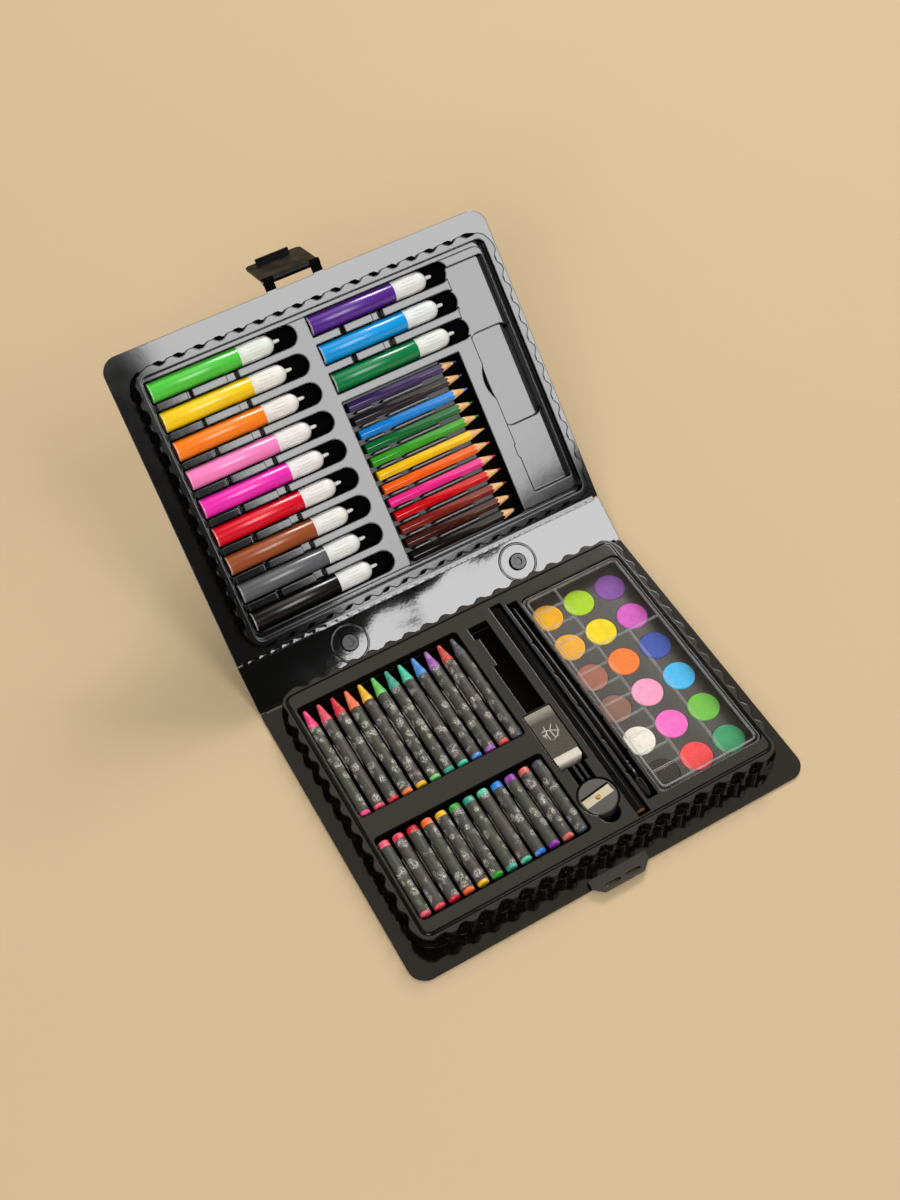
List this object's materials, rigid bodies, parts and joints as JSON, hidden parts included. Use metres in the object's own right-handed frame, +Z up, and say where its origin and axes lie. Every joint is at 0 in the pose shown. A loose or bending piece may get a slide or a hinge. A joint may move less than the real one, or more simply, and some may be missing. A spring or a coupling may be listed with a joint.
{
  "type": "colouring set",
  "caption": "Book style carrying case of black plastic, opened on its base, with markers and pencils in the lid and crayons, pastels, paints and small tools in the base.",
  "frame": {"origin": "centre of the underside of the base board, on the surface that the set lies on", "axes": "+Z up, +X along the hinges to the right, +Y from the front edge of the base towards the raised lid"},
  "size_m": [0.3, 0.4804, 0.1844],
  "materials": {
    "board_black": "thick smooth black plastic sheet, glossy",
    "tray_black": "thin formed black plastic, glossy",
    "catch_black": "moulded black plastic",
    "rivet_black": "moulded dark grey plastic studs",
    "pin_metal": "steel wire",
    "clear_plastic": "clear formed plastic",
    "paint_tray_grey": "dark grey formed plastic",
    "paint_warm": "pressed powder paint, yellow orange to black",
    "paint_bright": "pressed powder paint, green to red",
    "paint_cool": "pressed powder paint, purple to green",
    "crayon_wax": "wax, twelve colours",
    "pastel_wax": "oil pastel, twelve colours in dark wraps",
    "pencil_wood": "painted wood pencils with bare sharpened ends",
    "graphite_wood": "black lacquered wood",
    "graphite_lead": "graphite",
    "brush_wood": "black lacquered wood",
    "brush_metal": "dark ferrule",
    "brush_hair": "dark hair",
    "eraser_white": "soft white rubber",
    "sleeve_clear": "smoky clear film sleeve",
    "sharpener_black": "moulded black plastic",
    "blade_steel": "ground steel",
    "screw_brass": "brass screw",
    "cap_white": "white ribbed plastic",
    "marker_light_green": "plastic barrel",
    "marker_yellow": "plastic barrel",
    "marker_orange": "plastic barrel",
    "marker_pink": "plastic barrel",
    "marker_magenta": "plastic barrel",
    "marker_red": "plastic barrel",
    "marker_brown": "plastic barrel",
    "marker_grey": "plastic barrel",
    "marker_black": "plastic barrel",
    "marker_purple": "plastic barrel",
    "marker_blue": "plastic barrel",
    "marker_dark_green": "plastic barrel"
  },
  "bodies": {
    "base": {"base_board": "board_black", "base_tray": "tray_black", "base_catch": "catch_black"},
    "spine": {"spine_panel": "board_black", "carry_handle": "catch_black", "handle_rivets": "rivet_black"},
    "lid": {"lid_board": "board_black", "lid_tray": "tray_black", "clasp_pin": "pin_metal"},
    "hasp": {"clasp_hasp": "catch_black"},
    "crayon_set": {"crayons": "crayon_wax"},
    "pastel_set": {"pastels": "pastel_wax"},
    "paint_box": {"paint_tray": "paint_tray_grey", "paint_cakes_left": "paint_warm", "paint_cakes_middle": "paint_bright", "paint_cakes_right": "paint_cool"},
    "paint_lid": {"paint_cover": "clear_plastic"},
    "graphite_pencil": {"long_pencil": "graphite_wood", "long_pencil_lead": "graphite_lead"},
    "brush": {"brush_handle": "brush_wood", "brush_ferrule": "brush_metal", "brush_tuft": "brush_hair"},
    "eraser": {"eraser_sleeve": "sleeve_clear"},
    "eraser_rubber": {"eraser_block": "eraser_white"},
    "sharpener": {"sharpener_body": "sharpener_black", "sharpener_blade": "blade_steel", "sharpener_screw": "screw_brass"},
    "pencil_set": {"colour_pencils": "pencil_wood"},
    "marker_light_green_body": {"marker_light_green": "marker_light_green"},
    "marker_light_green_cap": {"marker_cap_light_green": "cap_white"},
    "marker_yellow_body": {"marker_yellow": "marker_yellow"},
    "marker_yellow_cap": {"marker_cap_yellow": "cap_white"},
    "marker_orange_body": {"marker_orange": "marker_orange"},
    "marker_orange_cap": {"marker_cap_orange": "cap_white"},
    "marker_pink_body": {"marker_pink": "marker_pink"},
    "marker_pink_cap": {"marker_cap_pink": "cap_white"},
    "marker_magenta_body": {"marker_magenta": "marker_magenta"},
    "marker_magenta_cap": {"marker_cap_magenta": "cap_white"},
    "marker_red_body": {"marker_red": "marker_red"},
    "marker_red_cap": {"marker_cap_red": "cap_white"},
    "marker_brown_body": {"marker_brown": "marker_brown"},
    "marker_brown_cap": {"marker_cap_brown": "cap_white"},
    "marker_grey_body": {"marker_grey": "marker_grey"},
    "marker_grey_cap": {"marker_cap_grey": "cap_white"},
    "marker_black_body": {"marker_black": "marker_black"},
    "marker_black_cap": {"marker_cap_black": "cap_white"},
    "marker_purple_body": {"marker_purple": "marker_purple"},
    "marker_purple_cap": {"marker_cap_purple": "cap_white"},
    "marker_blue_body": {"marker_blue": "marker_blue"},
    "marker_blue_cap": {"marker_cap_blue": "cap_white"},
    "marker_dark_green_body": {"marker_dark_green": "marker_dark_green"},
    "marker_dark_green_cap": {"marker_cap_dark_green": "cap_white"}
  },
  "joints": [
    {"name": "spine_hinge", "type": "hinge", "parent": "base", "child": "spine", "pos_m": [0, 0.1152, 0.0014], "axis": [-1, 0, 0], "range_deg": [-61.1, 14]},
    {"name": "lid_hinge", "type": "hinge", "parent": "spine", "child": "lid", "pos_m": [0, 0.14759, 0.01928], "axis": [-1, 0, 0], "range_deg": [-75.65, 31.35]},
    {"name": "clasp_pivot", "type": "hinge", "parent": "lid", "child": "hasp", "pos_m": [0, 0.3215, 0.18191], "axis": [1, 0, 0], "range_deg": [0, 155]},
    {"name": "crayons_lift", "type": "slide", "parent": "base", "child": "crayon_set", "axis": [0, 0, 1], "range_m": [0, 0.03]},
    {"name": "pastels_lift", "type": "slide", "parent": "base", "child": "pastel_set", "axis": [0, 0, 1], "range_m": [0, 0.03]},
    {"name": "paint_box_lift", "type": "slide", "parent": "base", "child": "paint_box", "axis": [0, 0, 1], "range_m": [0, 0.03]},
    {"name": "paint_cover_lift", "type": "slide", "parent": "paint_box", "child": "paint_lid", "axis": [0, 0, 1], "range_m": [0, 0.03]},
    {"name": "graphite_pencil_lift", "type": "slide", "parent": "base", "child": "graphite_pencil", "axis": [0, 0, 1], "range_m": [0, 0.03]},
    {"name": "brush_lift", "type": "slide", "parent": "base", "child": "brush", "axis": [0, 0, 1], "range_m": [0, 0.03]},
    {"name": "eraser_lift", "type": "slide", "parent": "base", "child": "eraser", "axis": [0, 0, 1], "range_m": [0, 0.03]},
    {"name": "eraser_push", "type": "slide", "parent": "eraser", "child": "eraser_rubber", "axis": [0, -1, 0], "range_m": [0, 0.004]},
    {"name": "sharpener_lift", "type": "slide", "parent": "base", "child": "sharpener", "axis": [0, 0, 1], "range_m": [0, 0.03]},
    {"name": "pencils_lift", "type": "slide", "parent": "lid", "child": "pencil_set", "axis": [0, -0.6852, 0.7284], "range_m": [0, 0.03]},
    {"name": "marker_light_green_lift", "type": "slide", "parent": "lid", "child": "marker_light_green_body", "axis": [0, -0.6852, 0.7284], "range_m": [0, 0.03]},
    {"name": "marker_yellow_lift", "type": "slide", "parent": "lid", "child": "marker_yellow_body", "axis": [0, -0.6852, 0.7284], "range_m": [0, 0.03]},
    {"name": "marker_orange_lift", "type": "slide", "parent": "lid", "child": "marker_orange_body", "axis": [0, -0.6852, 0.7284], "range_m": [0, 0.03]},
    {"name": "marker_pink_lift", "type": "slide", "parent": "lid", "child": "marker_pink_body", "axis": [0, -0.6852, 0.7284], "range_m": [0, 0.03]},
    {"name": "marker_magenta_lift", "type": "slide", "parent": "lid", "child": "marker_magenta_body", "axis": [0, -0.6852, 0.7284], "range_m": [0, 0.03]},
    {"name": "marker_red_lift", "type": "slide", "parent": "lid", "child": "marker_red_body", "axis": [0, -0.6852, 0.7284], "range_m": [0, 0.03]},
    {"name": "marker_brown_lift", "type": "slide", "parent": "lid", "child": "marker_brown_body", "axis": [0, -0.6852, 0.7284], "range_m": [0, 0.03]},
    {"name": "marker_grey_lift", "type": "slide", "parent": "lid", "child": "marker_grey_body", "axis": [0, -0.6852, 0.7284], "range_m": [0, 0.03]},
    {"name": "marker_black_lift", "type": "slide", "parent": "lid", "child": "marker_black_body", "axis": [0, -0.6852, 0.7284], "range_m": [0, 0.03]},
    {"name": "marker_purple_lift", "type": "slide", "parent": "lid", "child": "marker_purple_body", "axis": [0, -0.6852, 0.7284], "range_m": [0, 0.03]},
    {"name": "marker_blue_lift", "type": "slide", "parent": "lid", "child": "marker_blue_body", "axis": [0, -0.6852, 0.7284], "range_m": [0, 0.03]},
    {"name": "marker_dark_green_lift", "type": "slide", "parent": "lid", "child": "marker_dark_green_body", "axis": [0, -0.6852, 0.7284], "range_m": [0, 0.03]},
    {"name": "marker_light_green_uncap", "type": "slide", "parent": "marker_light_green_body", "child": "marker_light_green_cap", "axis": [1, 0, 0], "range_m": [0, 0.0095]},
    {"name": "marker_yellow_uncap", "type": "slide", "parent": "marker_yellow_body", "child": "marker_yellow_cap", "axis": [1, 0, 0], "range_m": [0, 0.0095]},
    {"name": "marker_orange_uncap", "type": "slide", "parent": "marker_orange_body", "child": "marker_orange_cap", "axis": [1, 0, 0], "range_m": [0, 0.0095]},
    {"name": "marker_pink_uncap", "type": "slide", "parent": "marker_pink_body", "child": "marker_pink_cap", "axis": [1, 0, 0], "range_m": [0, 0.0095]},
    {"name": "marker_magenta_uncap", "type": "slide", "parent": "marker_magenta_body", "child": "marker_magenta_cap", "axis": [1, 0, 0], "range_m": [0, 0.0095]},
    {"name": "marker_red_uncap", "type": "slide", "parent": "marker_red_body", "child": "marker_red_cap", "axis": [1, 0, 0], "range_m": [0, 0.0095]},
    {"name": "marker_brown_uncap", "type": "slide", "parent": "marker_brown_body", "child": "marker_brown_cap", "axis": [1, 0, 0], "range_m": [0, 0.0095]},
    {"name": "marker_grey_uncap", "type": "slide", "parent": "marker_grey_body", "child": "marker_grey_cap", "axis": [1, 0, 0], "range_m": [0, 0.0095]},
    {"name": "marker_black_uncap", "type": "slide", "parent": "marker_black_body", "child": "marker_black_cap", "axis": [1, 0, 0], "range_m": [0, 0.0095]},
    {"name": "marker_purple_uncap", "type": "slide", "parent": "marker_purple_body", "child": "marker_purple_cap", "axis": [1, 0, 0], "range_m": [0, 0.0095]},
    {"name": "marker_blue_uncap", "type": "slide", "parent": "marker_blue_body", "child": "marker_blue_cap", "axis": [1, 0, 0], "range_m": [0, 0.0095]},
    {"name": "marker_dark_green_uncap", "type": "slide", "parent": "marker_dark_green_body", "child": "marker_dark_green_cap", "axis": [1, 0, 0], "range_m": [0, 0.0095]}
  ]
}
